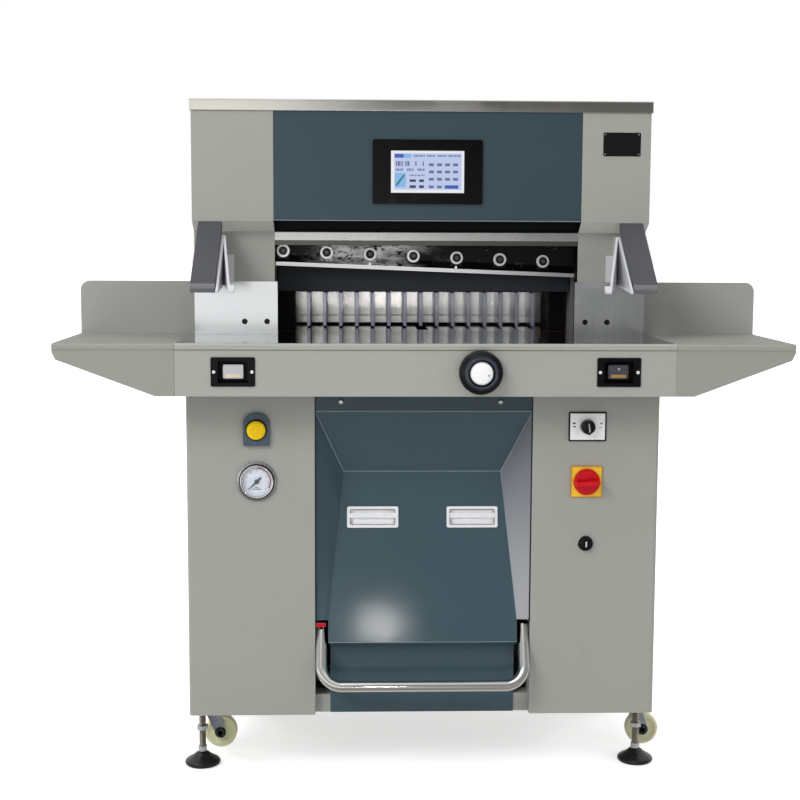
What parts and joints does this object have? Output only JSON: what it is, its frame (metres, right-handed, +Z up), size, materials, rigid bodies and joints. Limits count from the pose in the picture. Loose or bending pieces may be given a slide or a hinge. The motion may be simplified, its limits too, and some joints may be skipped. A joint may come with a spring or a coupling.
{
  "type": "hydraulic paper cutter",
  "caption": "Free-standing hydraulic paper cutter with swing-cut knife, comb clamp, back gauge, side tables, foot pedal and a screen in the head.",
  "frame": {"origin": "on the floor under the middle of the machine's outline", "axes": "+X to the operator's right, +Y to the back, +Z up"},
  "size_m": [1.45, 1.21, 1.4],
  "materials": {
    "cabinet_paint": "fine-textured light grey paint",
    "table_front_paint": "satin light grey paint",
    "head_paint": "satin slate-blue grey paint",
    "frame_paint": "dull machine grey paint over cast iron",
    "inner_paint": "satin near-black paint",
    "arm_paint": "satin dark grey paint",
    "lid_steel": "brushed, lengthwise grain",
    "plate_steel": "ground and brushed",
    "table_iron": "ground flat and polished",
    "machined_steel": "turned and ground",
    "black_steel": "glossy black",
    "blade_steel": "finely ground",
    "bright_chrome": "polished",
    "bronze": "oiled bearing bronze",
    "white_plastic": "smooth white",
    "black_plastic": "fine black",
    "gloss_black_plastic": "smooth black",
    "red_plastic": "smooth red",
    "stick_plastic": "dull red cutting stick",
    "yellow_plastic": "smooth yellow",
    "shroud_plastic": "blue-grey",
    "wheel_plastic": "cream nylon",
    "zinc": "zinc plated",
    "motor_paint": "blue motor paint",
    "tank_paint": "plain grey paint"
  },
  "bodies": {
    "machine": {"base_frame": "cabinet_paint", "levelling_pads": "black_plastic", "levelling_stems": "zinc", "caster_plates": "zinc", "left_side_frame": "frame_paint", "right_side_frame": "frame_paint", "gantry_crossbeam": "frame_paint", "cutting_table": "table_iron", "cutting_stick": "stick_plastic", "rear_table": "table_iron", "front_apron": "table_front_paint", "side_tables": "table_front_paint", "column_shells": "cabinet_paint", "rear_cabinet_cover": "cabinet_paint", "knee_cover": "head_paint", "pull_handles": "bright_chrome", "cheek_covers": "cabinet_paint", "guide_plates": "plate_steel", "gantry_rear_cover": "cabinet_paint", "top_cover": "lid_steel", "head_panel": "head_paint", "touch_screen": "gloss_black_plastic", "deflector_bar": "bright_chrome", "hydraulic_cylinders": "machined_steel", "clamp_guide_posts": "inner_paint", "gauge_motor": "black_plastic", "hydraulic_tank": "tank_paint", "pump_motor": "motor_paint", "button_shroud": "shroud_plastic", "pressure_gauge": "bright_chrome", "switch_plates": "yellow_plastic", "cut_button_pans": "gloss_black_plastic", "arm_covers": "arm_paint", "arm_brackets": "plate_steel"},
    "right_slide": {"right_slide_block": "bronze", "knife_rod": "bright_chrome"},
    "knife": {"knife_beam": "black_steel", "blade": "blade_steel", "blade_screws": "machined_steel"},
    "left_slide": {"left_slide_block": "bronze"},
    "clamp": {"clamp_beam": "machined_steel", "clamp_yoke": "machined_steel"},
    "gauge": {"back_gauge": "plate_steel"},
    "lead_screw": {"gauge_lead_screw": "machined_steel"},
    "stop_push": {"stop_button": "yellow_plastic"},
    "needle": {"gauge_needle": "black_steel"},
    "selector": {"selector_knob": "black_plastic"},
    "main_switch": {"main_switch_knob": "red_plastic"},
    "lock": {"lock_knob": "black_plastic"},
    "left_cut_push": {"left_cut_button": "white_plastic"},
    "right_cut_push": {"right_cut_button": "white_plastic"},
    "gauge_handwheel": {"handwheel": "black_plastic"},
    "foot_pedal": {"pedal": "bright_chrome"},
    "rear_hood": {"rear_table_cover": "cabinet_paint"},
    "left_caster": {"front_left_fork": "zinc"},
    "right_caster": {"front_right_fork": "zinc"},
    "left_front_wheel": {"front_left_wheel": "wheel_plastic"},
    "right_front_wheel": {"front_right_wheel": "wheel_plastic"},
    "left_rear_wheel": {"rear_left_wheel": "wheel_plastic"},
    "right_rear_wheel": {"rear_right_wheel": "wheel_plastic"}
  },
  "joints": [
    {"name": "knife_drop", "type": "slide", "parent": "machine", "child": "right_slide", "axis": [0.3537, 0, -0.9354], "range_m": [0, 0.12722]},
    {"name": "knife_swing", "type": "hinge", "parent": "right_slide", "child": "knife", "pos_m": [0.365, -0.2, 1.1283], "axis": [0, -1, 0], "range_deg": [0, 2.11]},
    {"name": "left_block_drop", "type": "slide", "parent": "machine", "child": "left_slide", "axis": [0.2896, 0, -0.9571], "range_m": [0, 0.15381]},
    {"name": "clamp_drop", "type": "slide", "parent": "machine", "child": "clamp", "axis": [0, 0, -1], "range_m": [0, 0.0875]},
    {"name": "gauge_travel", "type": "slide", "parent": "machine", "child": "gauge", "axis": [0, 1, 0], "range_m": [-0.099, 0.376]},
    {"name": "lead_screw_turn", "type": "hinge", "parent": "machine", "child": "lead_screw", "pos_m": [0.013, 0, 0.836], "axis": [0, 1, 0], "range_deg": [-3574, 13546]},
    {"name": "stop_button_push", "type": "slide", "parent": "machine", "child": "stop_push", "axis": [0, 1, 0], "range_m": [0, 0.006], "stiffness_N_per_m": 400},
    {"name": "gauge_needle_turn", "type": "hinge", "parent": "machine", "child": "needle", "pos_m": [-0.338, -0.476, 0.624], "axis": [0, 1, 0], "range_deg": [0, 270], "stiffness_Nm_per_rad": 0.02},
    {"name": "selector_turn", "type": "hinge", "parent": "machine", "child": "selector", "pos_m": [0.332, -0.476, 0.736], "axis": [0, 1, 0], "range_deg": [-45, 45]},
    {"name": "main_switch_turn", "type": "hinge", "parent": "machine", "child": "main_switch", "pos_m": [0.332, -0.476, 0.623], "axis": [0, 1, 0], "range_deg": [0, 90]},
    {"name": "lock_turn", "type": "hinge", "parent": "machine", "child": "lock", "pos_m": [0.332, -0.476, 0.495], "axis": [0, 1, 0], "range_deg": [0, 90]},
    {"name": "left_cut_push_in", "type": "slide", "parent": "machine", "child": "left_cut_push", "axis": [0, 1, 0], "range_m": [0, 0.006], "stiffness_N_per_m": 300},
    {"name": "right_cut_push_in", "type": "slide", "parent": "machine", "child": "right_cut_push", "axis": [0, 1, 0], "range_m": [0, 0.006], "stiffness_N_per_m": 300},
    {"name": "handwheel_turn", "type": "hinge", "parent": "machine", "child": "gauge_handwheel", "pos_m": [0.105, -0.568, 0.855], "axis": [0, 1, 0], "continuous": true},
    {"name": "pedal_press", "type": "hinge", "parent": "machine", "child": "foot_pedal", "pos_m": [0, -0.236, 0.292], "axis": [1, 0, 0], "range_deg": [0, 8], "stiffness_Nm_per_rad": 60, "springref_deg": -11.46},
    {"name": "rear_hood_open", "type": "hinge", "parent": "machine", "child": "rear_hood", "pos_m": [0.013, 0.096, 1.02], "axis": [1, 0, 0], "range_deg": [0, 80]},
    {"name": "left_caster_swivel", "type": "hinge", "parent": "machine", "child": "left_caster", "pos_m": [-0.461, -0.31, 0.12], "axis": [0, 0, 1], "continuous": true},
    {"name": "right_caster_swivel", "type": "hinge", "parent": "machine", "child": "right_caster", "pos_m": [0.461, -0.31, 0.12], "axis": [0, 0, 1], "continuous": true},
    {"name": "left_front_wheel_roll", "type": "hinge", "parent": "left_caster", "child": "left_front_wheel", "pos_m": [-0.431, -0.31, 0.046], "axis": [0, 1, 0], "continuous": true},
    {"name": "right_front_wheel_roll", "type": "hinge", "parent": "right_caster", "child": "right_front_wheel", "pos_m": [0.491, -0.31, 0.046], "axis": [0, 1, 0], "continuous": true},
    {"name": "left_rear_wheel_roll", "type": "hinge", "parent": "machine", "child": "left_rear_wheel", "pos_m": [-0.431, -0.002, 0.046], "axis": [0, 1, 0], "continuous": true},
    {"name": "right_rear_wheel_roll", "type": "hinge", "parent": "machine", "child": "right_rear_wheel", "pos_m": [0.491, -0.002, 0.046], "axis": [0, 1, 0], "continuous": true}
  ],
  "couplings": [
    {"joint": "knife_swing", "follows": "knife_drop", "rad_per_m": 0.28809},
    {"joint": "left_block_drop", "follows": "knife_drop", "ratio": 1.2074},
    {"joint": "lead_screw_turn", "follows": "gauge_travel", "rad_per_m": 628.32}
  ]
}
